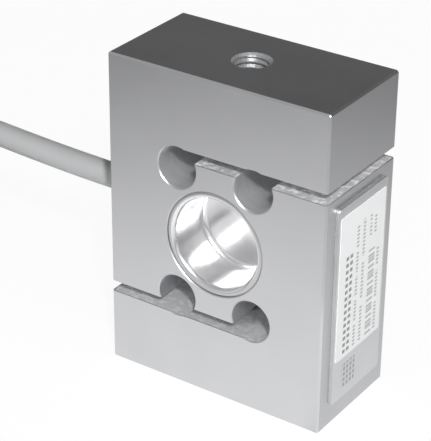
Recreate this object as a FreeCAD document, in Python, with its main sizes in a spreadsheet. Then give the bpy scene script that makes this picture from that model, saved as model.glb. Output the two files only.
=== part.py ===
import FreeCAD, Part
import math
import os
import Sketcher

# An S type load cell: an S-shaped spring body with a tapped hole in each end, strain gauges sealed in
# its centre bore, a covered pocket for the compensation board and a cable that leaves the left side.
# The frame: X along the front face, Y into the depth, Z up, origin at the centre of the underside.

Vector, Placement, Rotation = FreeCAD.Vector, FreeCAD.Placement, FreeCAD.Rotation
doc = FreeCAD.newDocument("load_cell")
sheet = doc.addObject("Spreadsheet::Sheet", "Sizes")

SIZES = {
    # spring body
    "body_width": 50.8,
    "body_depth": 25.4,
    "body_height": 70.0,
    "edge_break": 0.4,
    "relief_diameter": 8.9,
    "relief_reach": 8.9,
    "relief_rise": 14.5,
    "relief_edge": 0.25,
    "slot_height": 2.5,
    "slot_inset": 0.1,
    "tap_diameter": 6.8,
    "tap_mouth": 8.2,
    # gauge bore and its cups
    "bore_diameter": 20.2,
    "bore_edge": 0.4,
    "recess_diameter": 22.6,
    "recess_depth": 0.5,
    "recess_edge": 0.2,
    "cup_clearance": 0.1,
    "cup_sheet": 0.3,
    "cup_lead_gap": 0.85,
    "cup_corner": 1.4,
    "cup_lip": 0.5,
    # strain gauges and bridge wires
    "gauge_height": 0.08,
    "gauge_width": 3.4,
    "gauge_angle": 27.0,
    "bridge_wire_diameter": 0.4,
    "bridge_wire_gap": 0.15,
    "bridge_wire_end_angle": 20.0,
    # cover, label, pocket and board
    "cover_width": 18.4,
    "cover_height": 43.9,
    "cover_thickness": 0.7,
    "cover_middle": 27.15,
    "cover_corner": 0.8,
    "gasket_thickness": 0.1,
    "label_width": 17.0,
    "label_height": 32.3,
    "label_thickness": 0.12,
    "label_rise": 3.8,
    "label_corner": 0.4,
    "pocket_margin": 2.7,
    "pocket_depth": 5.0,
    "pocket_corner": 2.0,
    "board_gap": 0.4,
    "board_thickness": 1.0,
    "spacer_thickness": 1.2,
    "spacer_rim": 1.6,
    "resistor_length": 3.2,
    "resistor_width": 1.6,
    "resistor_height": 0.6,
    "resistor_spread": 5.0,
    "resistor_rise": 10.0,
    # cable gland
    "port_diameter": 8.0,
    "port_depth": 8.0,
    "channel_diameter": 5.0,
    "gland_clearance": 0.05,
    "gland_bottom_gap": 1.0,
    "gland_hex": 9.0,
    "gland_flange": 2.2,
    "neck_diameter": 7.0,
    "neck_length": 1.4,
    "seal_thickness": 1.0,
    "nut_diameter": 8.8,
    "nut_length": 3.3,
    "nut_edge": 0.5,
    # cable
    "cable_diameter": 5.5,
    "cable_clearance": 0.1,
    "jacket_end": 22.0,
    "lead_diameter": 1.0,
    "lead_spacing": 1.3,
    # put-away hank
    "hank_right": 93.0,
    "hank_straight": 58.0,
    "hank_inner_radius": 16.5,
    "hank_columns": 2,
    "hank_layers": 4,
    "hank_middle": -12.0,
    "strap_thickness": 0.8,
    "strap_width": 8.0,
    "strap_inset": 8.0,
    "hank_corner": 2.4,
    # conductors at the cable's far end
    "conductor_diameter": 1.2,
    "drain_diameter": 0.9,
}

for row, (alias, value) in enumerate(SIZES.items(), start=1):
    sheet.set(f"A{row}", alias)
    sheet.set(f"B{row}", str(value))
    sheet.setAlias(f"B{row}", alias)
doc.recompute()


def bind(item, **places):
    """Ties properties to expressions; two underscores stand for a dot."""
    for place, words in places.items():
        item.setExpression(place.replace("__", "."), words)


# ---------------------------------------------------------------- building blocks


def new_body(label):
    body = doc.addObject("PartDesign::Body", label)
    body.Label = label
    return body


def attach(item, body, plane, **offsets):
    """Lies an item on one of its body's origin planes, with its offsets tied to expressions."""
    origin = next(f for f in body.Origin.OriginFeatures if f.Role == plane)
    item.AttachmentSupport = [(origin, "")]
    item.MapMode = "FlatFace"
    for axis, words in offsets.items():
        bind(item, **{f"AttachmentOffset__Base__{axis}": words})
    return item


def new_sketch(body, name, plane, **offsets):
    return attach(body.newObject("Sketcher::SketchObject", name), body, plane, **offsets)


def tie(sketch, name, constraint, words):
    index = sketch.addConstraint(constraint)
    sketch.renameConstraint(index, name)
    sketch.setExpression(f"Constraints.{name}", words)


def add_rectangle(sketch, name, left, right, bottom, top):
    """A rectangle with its four sides at expressions."""
    corners = [Vector(-1, -1, 0), Vector(1, -1, 0), Vector(1, 1, 0), Vector(-1, 1, 0)]
    first = sketch.GeometryCount
    for start, end in zip(corners, corners[1:] + corners[:1]):
        sketch.addGeometry(Part.LineSegment(start, end), False)
    for side in range(4):
        after = (side + 1) % 4
        sketch.addConstraint(Sketcher.Constraint("Coincident", first + side, 2, first + after, 1))
        sketch.addConstraint(Sketcher.Constraint(("Horizontal", "Vertical")[side % 2], first + side))
    tie(sketch, name + "_left", Sketcher.Constraint("DistanceX", -1, 1, first, 1, -1), left)
    tie(sketch, name + "_bottom", Sketcher.Constraint("DistanceY", -1, 1, first, 1, -1), bottom)
    tie(sketch, name + "_right", Sketcher.Constraint("DistanceX", -1, 1, first + 2, 1, 1), right)
    tie(sketch, name + "_top", Sketcher.Constraint("DistanceY", -1, 1, first + 2, 1, 1), top)


def add_circle(sketch, name, across, up, diameter):
    index = sketch.addGeometry(Part.Circle(Vector(1, 1, 0), Vector(0, 0, 1), 1), False)
    tie(sketch, name + "_across", Sketcher.Constraint("DistanceX", -1, 1, index, 3, 1), across)
    tie(sketch, name + "_up", Sketcher.Constraint("DistanceY", -1, 1, index, 3, 1), up)
    tie(sketch, name + "_diameter", Sketcher.Constraint("Diameter", index, 2), diameter)


def add_racetrack(sketch, name, right, straight, middle, radius):
    """Two half circles joined by straights, drawn to the left of the right half's centre."""
    left = f"{right} - {straight}"
    far, near = Vector(-3, 0, 0), Vector(0, 0, 0)
    up, quarter = Vector(0, 0, 1), math.pi / 2
    first = sketch.addGeometry(Part.ArcOfCircle(Part.Circle(near, up, 1), -quarter, quarter), False)
    second = sketch.addGeometry(Part.ArcOfCircle(Part.Circle(far, up, 1), quarter, 3 * quarter), False)
    upper = sketch.addGeometry(Part.LineSegment(Vector(0, 1, 0), Vector(-3, 1, 0)), False)
    lower = sketch.addGeometry(Part.LineSegment(Vector(-3, -1, 0), Vector(0, -1, 0)), False)
    tie(sketch, name + "_right", Sketcher.Constraint("DistanceX", -1, 1, first, 3, 0), right)
    tie(sketch, name + "_middle", Sketcher.Constraint("DistanceY", -1, 1, first, 3, 0), middle)
    tie(sketch, name + "_left", Sketcher.Constraint("DistanceX", -1, 1, second, 3, -3), left)
    tie(sketch, name + "_level", Sketcher.Constraint("DistanceY", -1, 1, second, 3, 0), middle)
    tie(sketch, name + "_radius", Sketcher.Constraint("Radius", first, 1), radius)
    sketch.addConstraint(Sketcher.Constraint("Equal", first, second))
    loop = [first, upper, second, lower]
    for before, after in zip(loop, loop[1:] + loop[:1]):
        sketch.addConstraint(Sketcher.Constraint("Coincident", before, 2, after, 1))
    for place, arc in ((2, first), (1, first), (1, second), (2, second)):
        sketch.addConstraint(Sketcher.Constraint("Vertical", arc, place, arc, 3))


def pad(body, sketch, length, both_ways=False, backwards=False):
    feature = body.newObject("PartDesign::Pad", sketch.Name + "_pad")
    feature.Profile = sketch
    feature.Midplane = both_ways
    feature.Reversed = backwards
    bind(feature, Length=length)
    doc.recompute()
    return feature


def pocket(body, sketch, depth=None, backwards=False):
    """Cuts a sketch into its body, through everything where no depth is given."""
    before = body.Tip.Shape.Volume
    feature = body.newObject("PartDesign::Pocket", sketch.Name + "_pocket")
    feature.Profile = sketch
    feature.Reversed = backwards
    if depth is None:
        feature.Type = "ThroughAll"
        feature.Midplane = True
    else:
        bind(feature, Length=depth)
    doc.recompute()
    if not feature.Shape.Volume < before - 1e-6:
        raise RuntimeError(f"{feature.Name} cut nothing")
    return feature


def add_round(body, name, plane, offset, diameter, length, cut=False):
    """A cylinder that stands on an origin plane, added to its body or cut from it."""
    feature = body.newObject("PartDesign::" + ("Subtractive" if cut else "Additive") + "Cylinder", name)
    attach(feature, body, plane, z=offset)
    bind(feature, Radius=f"({diameter}) / 2", Height=length)
    doc.recompute()
    return feature


def edges_where(shape, test):
    return [f"Edge{n}" for n, edge in enumerate(shape.Edges, start=1) if test(edge)]


def is_circle(edge, radius, axis=None, place=None):
    """Whether an edge is part of a circle of this radius, this far along an axis to either side."""
    if not isinstance(edge.Curve, Part.Circle) or abs(edge.Curve.Radius - radius) > 1e-4:
        return False
    return axis is None or abs(abs(getattr(edge.Curve.Center, axis)) - abs(place)) < 1e-4


def soften(body, kind, name, size, test):
    """A Chamfer or Fillet on the edges of the body's tip that pass a test."""
    base = body.Tip
    names = edges_where(base.Shape, test)
    if not names:
        raise RuntimeError(f"{name} found no edge")
    feature = body.newObject("PartDesign::" + kind, name)
    feature.Base = (base, names)
    bind(feature, **{"Radius" if kind == "Fillet" else "Size": size})
    doc.recompute()
    return feature


def value(words):
    """The number that an expression in sheet aliases comes to."""
    found = sheet.evalExpression(words)
    return float(getattr(found, "Value", found))


def along(edge, axis):
    """Whether an edge is a straight one, parallel to this axis."""
    if not isinstance(edge.Curve, (Part.Line, Part.LineSegment)):
        return False
    return abs(getattr(edge.Curve.Direction, axis)) > 1 - 1e-6


# ---------------------------------------------------------------- spring body

AXIS = "0"
MIDDLE = "Sizes.body_height / 2"
FRONT = "Sizes.body_depth / 2"
SIDE = "Sizes.body_width / 2"
SLOT_OUTER = "(Sizes.relief_rise + Sizes.relief_diameter / 2 - Sizes.slot_inset)"
SLOT_INNER = "(Sizes.relief_rise + Sizes.relief_diameter / 2 - Sizes.slot_inset - Sizes.slot_height)"
LEDGE = "((Sizes.recess_diameter - Sizes.bore_diameter) / 2)"
POCKET_WIDTH = "(Sizes.cover_width - 2 * Sizes.pocket_margin)"
POCKET_HEIGHT = "(Sizes.cover_height - 2 * Sizes.pocket_margin)"


def make_spring_body():
    body = new_body("spring_body")
    block = new_sketch(body, "block", "XZ_Plane")
    add_rectangle(block, "block", f"-{SIDE}", SIDE, AXIS, "Sizes.body_height")
    pad(body, block, "Sizes.body_depth", both_ways=True)
    soften(body, "Chamfer", "broken_edges", "Sizes.edge_break", lambda edge: True)

    relief = new_sketch(body, "relief_holes", "XZ_Plane")
    for side, across in (("left", "-Sizes.relief_reach"), ("right", "Sizes.relief_reach")):
        for level, sign in (("upper", "+"), ("lower", "-")):
            up = f"{MIDDLE} {sign} Sizes.relief_rise"
            add_circle(relief, f"{level}_{side}", across, up, "Sizes.relief_diameter")
    pocket(body, relief)
    radius = value("Sizes.relief_diameter / 2")
    soften(body, "Chamfer", "relief_mouths", "Sizes.relief_edge", lambda edge: is_circle(edge, radius))

    bore = new_sketch(body, "gauge_bore", "XZ_Plane")
    add_circle(bore, "bore", AXIS, MIDDLE, "Sizes.bore_diameter")
    pocket(body, bore)
    for name, offset, backwards in (("front", FRONT, False), ("rear", f"-{FRONT}", True)):
        recess = new_sketch(body, name + "_recess", "XZ_Plane", z=offset)
        add_circle(recess, "recess", AXIS, MIDDLE, "Sizes.recess_diameter")
        pocket(body, recess, "Sizes.recess_depth", backwards)
    face = value(FRONT)
    rim = value("Sizes.recess_diameter / 2")
    wall = value("Sizes.bore_diameter / 2")
    soften(
        body, "Chamfer", "recess_mouths", "Sizes.recess_edge",
        lambda edge: is_circle(edge, rim, "y", face),
    )
    soften(
        body, "Chamfer", "bore_mouths", f"min(Sizes.bore_edge; {LEDGE} / 2)",
        lambda edge: is_circle(edge, wall),
    )

    slots = new_sketch(body, "slots", "XZ_Plane")
    add_rectangle(
        slots, "upper", "-Sizes.relief_reach", f"{SIDE} + Sizes.edge_break",
        f"{MIDDLE} + {SLOT_INNER}", f"{MIDDLE} + {SLOT_OUTER}",
    )
    add_rectangle(
        slots, "lower", f"-{SIDE} - Sizes.edge_break", "Sizes.relief_reach",
        f"{MIDDLE} - {SLOT_OUTER}", f"{MIDDLE} - {SLOT_INNER}",
    )
    pocket(body, slots)

    board_pocket = new_sketch(body, "board_pocket", "YZ_Plane", z=SIDE)
    add_rectangle(
        board_pocket, "pocket", f"-{POCKET_WIDTH} / 2", f"{POCKET_WIDTH} / 2",
        f"Sizes.cover_middle - {POCKET_HEIGHT} / 2", f"Sizes.cover_middle + {POCKET_HEIGHT} / 2",
    )
    pocket(body, board_pocket, "Sizes.pocket_depth")
    floor, width = value(f"{SIDE} - Sizes.pocket_depth"), value(f"{POCKET_WIDTH} / 2")
    soften(
        body, "Fillet", "pocket_corners", "Sizes.pocket_corner",
        lambda edge: along(edge, "x")
        and abs(abs(edge.CenterOfMass.y) - width) < 1e-4
        and edge.BoundBox.XMin > floor - 1e-4,
    )

    port = new_sketch(body, "gland_port", "YZ_Plane", z=f"-{SIDE}")
    add_circle(port, "port", AXIS, MIDDLE, "Sizes.port_diameter")
    pocket(body, port, "Sizes.port_depth", backwards=True)
    for name, offset, backwards in (("cable", f"-{SIDE}", True), ("board", SIDE, False)):
        channel = new_sketch(body, name + "_channel", "YZ_Plane", z=offset)
        add_circle(channel, "channel", AXIS, MIDDLE, "Sizes.channel_diameter")
        pocket(body, channel, f"{SIDE} - Sizes.bore_diameter / 4", backwards)

    for name, offset, backwards in (("upper", "Sizes.body_height", False), ("lower", AXIS, True)):
        spot = new_sketch(body, name + "_tap_spot", "XY_Plane", z=offset)
        add_circle(spot, "spot", AXIS, AXIS, "Sizes.tap_diameter")
        doc.recompute()
        hole = body.newObject("PartDesign::Hole", name + "_tapped_hole")
        hole.Profile = spot
        hole.Reversed = backwards
        hole.DepthType = "Dimension"
        hole.DrillPoint = "Flat"
        hole.HoleCutType = "Countersink"
        hole.HoleCutCustomValues = True
        hole.HoleCutCountersinkAngle = 90
        bind(
            hole, Diameter="Sizes.tap_diameter", HoleCutDiameter="Sizes.tap_mouth",
            Depth=f"{MIDDLE} - {SLOT_OUTER} + Sizes.slot_height / 2",
        )
        before = hole.BaseFeature.Shape.Volume
        doc.recompute()
        if not hole.Shape.Volume < before - 1e-6:
            raise RuntimeError(f"{hole.Name} cut nothing")
    return body


# ---------------------------------------------------------------- sealing cups, gauges, bridge wires

CUP_OUTER = "(Sizes.bore_diameter - 2 * Sizes.cup_clearance)"
CUP_FLANGE = "(Sizes.recess_diameter - 2 * Sizes.cup_clearance)"
CUP_NECK = f"min(Sizes.cup_lip - Sizes.cup_sheet; {LEDGE} / 2)"
LEAD_ROOM = "(Sizes.lead_spacing / 2 + Sizes.lead_diameter / 2 + Sizes.cup_lead_gap)"
CUP_DEPTH = f"({FRONT} - Sizes.recess_depth - {LEAD_ROOM})"
CUP_FLOOR = f"({CUP_DEPTH} + Sizes.cup_sheet)"


def make_cup(label, side):
    """A deep-drawn cup, drawn with its flange on top and set into one end of the gauge bore."""
    body = new_body(label)
    add_round(body, label + "_flange", "XY_Plane", "-Sizes.cup_sheet", CUP_FLANGE, "Sizes.cup_sheet")
    add_round(body, label + "_wall", "XY_Plane", f"-{CUP_FLOOR}", CUP_OUTER, CUP_FLOOR)
    outer = value(f"{CUP_OUTER} / 2")
    inner = value(f"{CUP_OUTER} / 2 - Sizes.cup_sheet")
    under, floor, deep = value("-Sizes.cup_sheet"), value(f"-{CUP_DEPTH}"), value(f"-{CUP_FLOOR}")
    add_round(
        body, label + "_inside", "XY_Plane", f"-{CUP_DEPTH}",
        f"{CUP_OUTER} - 2 * Sizes.cup_sheet", CUP_FLOOR, cut=True,
    )
    soften(
        body, "Fillet", label + "_inner_corner", "Sizes.cup_corner",
        lambda edge: is_circle(edge, inner, "z", floor),
    )
    soften(
        body, "Fillet", label + "_outer_corner", "Sizes.cup_corner + Sizes.cup_sheet",
        lambda edge: is_circle(edge, outer, "z", deep),
    )
    soften(
        body, "Fillet", label + "_lip", f"{CUP_NECK} + Sizes.cup_sheet",
        lambda edge: is_circle(edge, inner, "z", 0.0),
    )
    soften(body, "Fillet", label + "_neck", CUP_NECK, lambda edge: is_circle(edge, outer, "z", under))
    body.Placement.Rotation = Rotation(Vector(1, 0, 0), 90 * side)
    sign = "-" if side > 0 else ""
    mouth = f"{sign}({FRONT} - Sizes.recess_depth + Sizes.cup_sheet)"
    bind(body, Placement__Base__y=mouth, Placement__Base__z=MIDDLE)
    return body


def make_gauge(label, angle):
    """A foil gauge bonded to the bore's wall beside a relief hole, as a thin curved patch."""
    body = new_body(label)
    for name, cut, diameter in (
        ("foil", False, "Sizes.bore_diameter"),
        ("bond", True, "Sizes.bore_diameter - 2 * Sizes.gauge_height"),
    ):
        feature = add_round(
            body, f"{label}_{name}", "XZ_Plane", "-Sizes.gauge_width / 2",
            diameter, "Sizes.gauge_width", cut,
        )
        feature.AttachmentOffset = Placement(Vector(), Rotation(Vector(0, 0, 1), 0))
        if not cut:
            bind(feature, Angle="Sizes.gauge_angle")
            bind(feature, AttachmentOffset__Rotation__Angle=f"{angle} - Sizes.gauge_angle / 2")
    bind(body, Placement__Base__z=MIDDLE)
    return body


def make_bridge_wire(label, start):
    """An enamelled wire round half of the bore's wall, clear of the gauges that it joins."""
    body = new_body(label)
    wire = body.newObject("PartDesign::AdditiveTorus", label + "_wire")
    attach(wire, body, "XZ_Plane")
    wire.AttachmentOffset = Placement(Vector(), Rotation(Vector(0, 0, 1), 0))
    clear = "Sizes.gauge_height + Sizes.bridge_wire_gap + Sizes.bridge_wire_diameter / 2"
    bind(
        wire,
        Radius1=f"Sizes.bore_diameter / 2 - ({clear})",
        Radius2="Sizes.bridge_wire_diameter / 2",
        Angle3="180 - 2 * Sizes.bridge_wire_end_angle",
        AttachmentOffset__Rotation__Angle=f"{start} + Sizes.bridge_wire_end_angle",
    )
    bind(body, Placement__Base__z=MIDDLE)
    return body


# ---------------------------------------------------------------- cover, label and board


def make_sheet(label, offset, width, height, middle, thickness, corner=None, window=None):
    """A flat piece parallel to the right side, with rounded corners or a window where given."""
    body = new_body(label)
    outline = new_sketch(body, label + "_outline", "YZ_Plane", z=offset)
    add_rectangle(
        outline, "edge", f"-({width}) / 2", f"({width}) / 2",
        f"{middle} - ({height}) / 2", f"{middle} + ({height}) / 2",
    )
    if window:
        add_rectangle(
            outline, "window", f"-({width}) / 2 + {window}", f"({width}) / 2 - {window}",
            f"{middle} - ({height}) / 2 + {window}", f"{middle} + ({height}) / 2 - {window}",
        )
    pad(body, outline, thickness)
    if corner:
        half = value(f"({width}) / 2")
        soften(
            body, "Fillet", label + "_corners", corner,
            lambda edge: along(edge, "x") and abs(abs(edge.CenterOfMass.y) - half) < 1e-4,
        )
    return body


BOARD_BACK = f"{SIDE} - Sizes.pocket_depth + Sizes.spacer_thickness"
BOARD_FACE = f"{BOARD_BACK} + Sizes.board_thickness"
BOARD_WIDTH = f"{POCKET_WIDTH} - 2 * Sizes.board_gap"
BOARD_HEIGHT = f"{POCKET_HEIGHT} - 2 * Sizes.board_gap"


def make_cover_pieces():
    middle = "Sizes.cover_middle"
    board = (BOARD_WIDTH, BOARD_HEIGHT, middle)
    cover = ("Sizes.cover_width", "Sizes.cover_height", middle)
    label = ("Sizes.label_width", "Sizes.label_height", f"{middle} + Sizes.label_rise")
    cover_back = f"{SIDE} + Sizes.gasket_thickness"
    label_back = f"{cover_back} + Sizes.cover_thickness"
    make_sheet(
        "board_spacer", f"{SIDE} - Sizes.pocket_depth", *board,
        "Sizes.spacer_thickness", "Sizes.pocket_corner", "Sizes.spacer_rim",
    )
    make_sheet("compensation_board", BOARD_BACK, *board, "Sizes.board_thickness", "Sizes.pocket_corner")
    make_sheet(
        "cover_gasket", SIDE, *cover,
        "Sizes.gasket_thickness", "Sizes.cover_corner", "Sizes.pocket_margin",
    )
    make_sheet("side_cover_plate", cover_back, *cover, "Sizes.cover_thickness", "Sizes.cover_corner")
    make_sheet("rating_label", label_back, *label, "Sizes.label_thickness", "Sizes.label_corner")


def make_resistors(label, sign):
    """Two chip resistors on the board's face, above or below the leads."""
    body = new_body(label)
    chips = new_sketch(body, label + "_outline", "YZ_Plane", z=BOARD_FACE)
    for side, across in (("left", "-Sizes.resistor_spread / 2"), ("right", "Sizes.resistor_spread / 2")):
        up = f"Sizes.cover_middle {sign} Sizes.resistor_rise"
        add_rectangle(
            chips, side, f"{across} - Sizes.resistor_width / 2", f"{across} + Sizes.resistor_width / 2",
            f"{up} - Sizes.resistor_length / 2", f"{up} + Sizes.resistor_length / 2",
        )
    pad(body, chips, "Sizes.resistor_height")
    return body


def make_inner_lead(label, across, up):
    """One insulated lead, straight from the jacket's end through the bore to the board's back."""
    body = new_body(label)
    lead = add_round(
        body, label + "_core", "YZ_Plane", "-Sizes.jacket_end",
        "Sizes.lead_diameter", f"Sizes.jacket_end + {BOARD_BACK}",
    )
    bind(lead, AttachmentOffset__Base__x=f"{across} * Sizes.lead_spacing / 2")
    bind(lead, AttachmentOffset__Base__y=f"{MIDDLE} + {up} * Sizes.lead_spacing / 2")
    return body


# ---------------------------------------------------------------- cable gland

CABLE_HOLE = "(Sizes.cable_diameter + 2 * Sizes.cable_clearance)"


def turn_to_left(body):
    """Stands a turned piece on the left side, its own Z axis pointing out along -X."""
    body.Placement.Rotation = Rotation(Vector(0, 1, 0), -90)
    bind(body, Placement__Base__x=f"-{SIDE}", Placement__Base__z=MIDDLE)
    return body


def make_gland():
    body = new_body("gland_body")
    depth = "(Sizes.port_depth - Sizes.gland_bottom_gap)"
    spigot = "Sizes.port_diameter - 2 * Sizes.gland_clearance"
    add_round(body, "spigot", "XY_Plane", f"-{depth}", spigot, depth)
    flange = body.newObject("PartDesign::AdditivePrism", "flange")
    flange.Polygon = 6
    attach(flange, body, "XY_Plane")
    bind(flange, Circumradius="Sizes.gland_hex / 2 / cos(30)", Height="Sizes.gland_flange")
    doc.recompute()
    add_round(body, "neck", "XY_Plane", "Sizes.gland_flange", "Sizes.neck_diameter", "Sizes.neck_length")
    whole = f"{depth} + Sizes.gland_flange + Sizes.neck_length"
    add_round(body, "cable_way", "XY_Plane", f"-{depth}", CABLE_HOLE, whole, cut=True)
    turn_to_left(body)

    seal = new_body("gland_seal")
    start, thickness = "(Sizes.gland_flange + Sizes.neck_length)", "Sizes.seal_thickness"
    add_round(seal, "seal_ring", "XY_Plane", start, "Sizes.neck_diameter", thickness)
    add_round(seal, "seal_hole", "XY_Plane", start, "Sizes.cable_diameter", thickness, cut=True)
    turn_to_left(seal)

    nut = new_body("gland_nut")
    start, length = "Sizes.gland_flange", "Sizes.nut_length"
    cavity = "Sizes.neck_length + Sizes.seal_thickness"
    add_round(nut, "nut_outside", "XY_Plane", start, "Sizes.nut_diameter", length)
    rim, top = value("Sizes.nut_diameter / 2"), value(f"{start} + {length}")
    soften(
        nut, "Chamfer", "nut_dome", "Sizes.nut_edge",
        lambda edge: is_circle(edge, rim, "z", top),
    )
    inside = "Sizes.neck_diameter + 2 * Sizes.gland_clearance"
    add_round(nut, "nut_inside", "XY_Plane", start, inside, cavity, cut=True)
    add_round(nut, "nut_hole", "XY_Plane", start, CABLE_HOLE, length, cut=True)
    turn_to_left(nut)


# ---------------------------------------------------------------- cable

# The lead's route: out of the gland, level at first, then down on to the hank and along its top.
LEAD_ROUTE = [
    (-22.0, 0.0, 35.0),
    (-40.0, 0.0, 35.0),
    (-58.0, 0.1, 35.6),
    (-73.0, 0.6, 36.1),
    (-87.0, 2.2, 32.2),
    (-101.0, 4.0, 26.6),
    (-116.0, 4.6, 25.6),
    (-131.0, 4.4, 25.7),
    (-146.0, 4.3, 24.6),
    (-158.0, 2.4, 20.5),
]
# The tail's route: off the hank's innermost turn and on to the surface inside it.
TAIL_ROUTE = [
    (-94.0, 5.2, 3.6),
    (-106.0, 1.6, 3.2),
    (-118.0, -2.4, 2.75),
    (-130.0, -4.4, 2.75),
]
ARC_SHARE = 0.45


def rounded_path(points):
    """Straight runs joined by tangent arcs, each as large as its two runs allow, and their radii."""
    points = [Vector(*p) for p in points]
    edges, radii, start = [], [], points[0]
    for before, corner, after in zip(points, points[1:], points[2:]):
        back, on = (before - corner), (after - corner)
        reach = ARC_SHARE * min(back.Length, on.Length)
        back, on = back.normalize(), on.normalize()
        turn = math.pi - back.getAngle(on)
        radius = reach / math.tan(turn / 2)
        first, last = corner + back * reach, corner + on * reach
        middle = corner + (back + on).normalize() * (radius / math.cos(turn / 2) - radius)
        edges.append(Part.LineSegment(start, first).toShape())
        edges.append(Part.Arc(first, middle, last).toShape())
        radii.append(radius)
        start = last
    edges.append(Part.LineSegment(start, points[-1]).toShape())
    return Part.Wire(edges), radii


def tube(label, points, diameter):
    """A round cord swept along a rounded path; its volume is compared with section times length."""
    path, radii = rounded_path(points)
    ring = Part.makeCircle(diameter / 2, Vector(*points[0]), path.Edges[0].tangentAt(0))
    shape = path.makePipeShell([Part.Wire([ring])], True, True)
    wanted = math.pi * diameter ** 2 / 4 * path.Length
    if abs(shape.Volume / wanted - 1) > 0.01:
        raise RuntimeError(f"{label} has a volume of {shape.Volume:.1f} and should have {wanted:.1f}")
    print(label, "length", round(path.Length, 1), "radii", [round(r, 1) for r in radii])
    return shape


def new_feature(label, shape):
    feature = doc.addObject("Part::Feature", label)
    feature.Label = label
    feature.Shape = shape
    return feature


HANK_INNER = "(Sizes.hank_inner_radius - Sizes.cable_diameter / 2)"
HANK_WIDTH = "(Sizes.hank_columns * Sizes.cable_diameter)"
HANK_HEIGHT = "(Sizes.hank_layers * Sizes.cable_diameter)"


def make_hank():
    """The outer shape of the put-away turns: a racetrack ring that lies on its two straps."""
    body = new_body("cable_hank")
    outline = new_sketch(body, "hank_outline", "XY_Plane", z="Sizes.strap_thickness")
    place = ("-Sizes.hank_right", "Sizes.hank_straight", "Sizes.hank_middle")
    for name, radius in (("outer", f"{HANK_INNER} + {HANK_WIDTH}"), ("inner", HANK_INNER)):
        add_racetrack(outline, name, *place, radius)
    pad(body, outline, HANK_HEIGHT)
    soften(body, "Fillet", "hank_edges", "Sizes.hank_corner", lambda edge: not along(edge, "z"))
    return body


def make_strap(label, place):
    """A hook-and-loop strap closed round the hank's front straight."""
    body = new_body(label)
    right = f"Sizes.hank_middle - {HANK_INNER}"
    left = f"{right} - {HANK_WIDTH}"
    thick, top = "Sizes.strap_thickness", f"{HANK_HEIGHT} + 2 * Sizes.strap_thickness"
    section = new_sketch(body, label + "_section", "YZ_Plane", z=place)
    add_rectangle(section, "outside", f"{left} - {thick}", f"{right} + {thick}", AXIS, top)
    add_rectangle(section, "inside", left, right, thick, f"{top} - {thick}")
    pad(body, section, "Sizes.strap_width", both_ways=True)
    inner = [value(left), value(right)]
    outer = [value(f"{left} - {thick}"), value(f"{right} + {thick}")]

    def corners(sides):
        return lambda edge: along(edge, "x") and any(abs(edge.CenterOfMass.y - y) < 1e-4 for y in sides)

    soften(body, "Fillet", label + "_inner_corners", "Sizes.hank_corner", corners(inner))
    soften(body, "Fillet", label + "_outer_corners", f"Sizes.hank_corner + {thick}", corners(outer))
    return body


# Each conductor's start across and up from the jacket's middle, and its end on the surface.
CONDUCTORS = {
    "red_conductor": ((0.75, 0.75), (-150.5, -2.0, 0.65)),
    "white_conductor": ((0.75, -0.75), (-151.5, -5.2, 0.65)),
    "green_conductor": ((-0.75, -0.75), (-151.0, -9.6, 0.65)),
    "black_conductor": ((-0.75, 0.75), (-149.5, -13.4, 0.65)),
}
DRAIN_ROUTE = ((0.0, 1.9), (-147.5, -8.2, 2.6))
CONDUCTOR_RUN = 7.0


def conductor(label, place, end, diameter):
    """A wire that leaves the jacket's end square to it, then bends away to its own end."""
    last = Vector(*TAIL_ROUTE[-1])
    way = (last - Vector(*TAIL_ROUTE[-2])).normalize()
    across, up = place
    start = last + Vector(0, 0, 1).cross(way) * -across + Vector(0, 0, up)
    return new_feature(label, tube(label, [start, start + way * CONDUCTOR_RUN, end], diameter))


def make_cable():
    diameter = value("Sizes.cable_diameter")
    hank = make_hank().Shape
    new_feature("cable_lead", tube("cable_lead", LEAD_ROUTE, diameter).cut(hank))
    new_feature("cable_tail", tube("cable_tail", TAIL_ROUTE, diameter).cut(hank))
    make_strap("front_strap", "-Sizes.hank_right - Sizes.strap_inset")
    make_strap("rear_strap", "-Sizes.hank_right - Sizes.hank_straight + Sizes.strap_inset")
    for label, (place, end) in CONDUCTORS.items():
        conductor(label, place, end, value("Sizes.conductor_diameter"))
    conductor("drain_wire", *DRAIN_ROUTE, value("Sizes.drain_diameter"))


# ---------------------------------------------------------------- the whole cell


def build():
    make_spring_body()
    make_cup("front_sealing_cup", 1)
    make_cup("rear_sealing_cup", -1)
    lean = "atan(Sizes.relief_rise / Sizes.relief_reach) / 1 deg"
    for label, angle in (
        ("upper_right_gauge", lean),
        ("upper_left_gauge", f"180 - {lean}"),
        ("lower_left_gauge", f"180 + {lean}"),
        ("lower_right_gauge", f"360 - {lean}"),
    ):
        make_gauge(label, angle)
    make_bridge_wire("upper_bridge_wire", "0")
    make_bridge_wire("lower_bridge_wire", "180")
    make_cover_pieces()
    make_resistors("balance_resistors", "+")
    make_resistors("span_resistors", "-")
    for label, across, up in (
        ("red_inner_lead", 1, 1), ("black_inner_lead", -1, 1),
        ("green_inner_lead", -1, -1), ("white_inner_lead", 1, -1),
    ):
        make_inner_lead(label, across, up)
    make_gland()
    make_cable()
    doc.recompute()


def write():
    """Checks every object, then writes each sub-part's shape to a file named after its label."""
    for item in doc.Objects:
        if {"Invalid", "Error"} & set(item.State):
            raise RuntimeError(f"{item.Label} failed: {item.State}")
    plain = [f for f in doc.Objects if f.TypeId == "Part::Feature"]
    parts = [b for b in doc.Objects if b.TypeId == "PartDesign::Body"] + plain
    for item in parts:
        if item.Shape.isNull() or not item.Shape.isValid() or not item.Shape.Solids:
            raise RuntimeError(f"{item.Label} has no valid solid")
    os.makedirs("parts", exist_ok=True)
    for item in parts:
        item.Shape.exportStep(f"parts/{item.Label}.step")
    print(len(parts), "sub-parts written")


build()
write()
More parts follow.
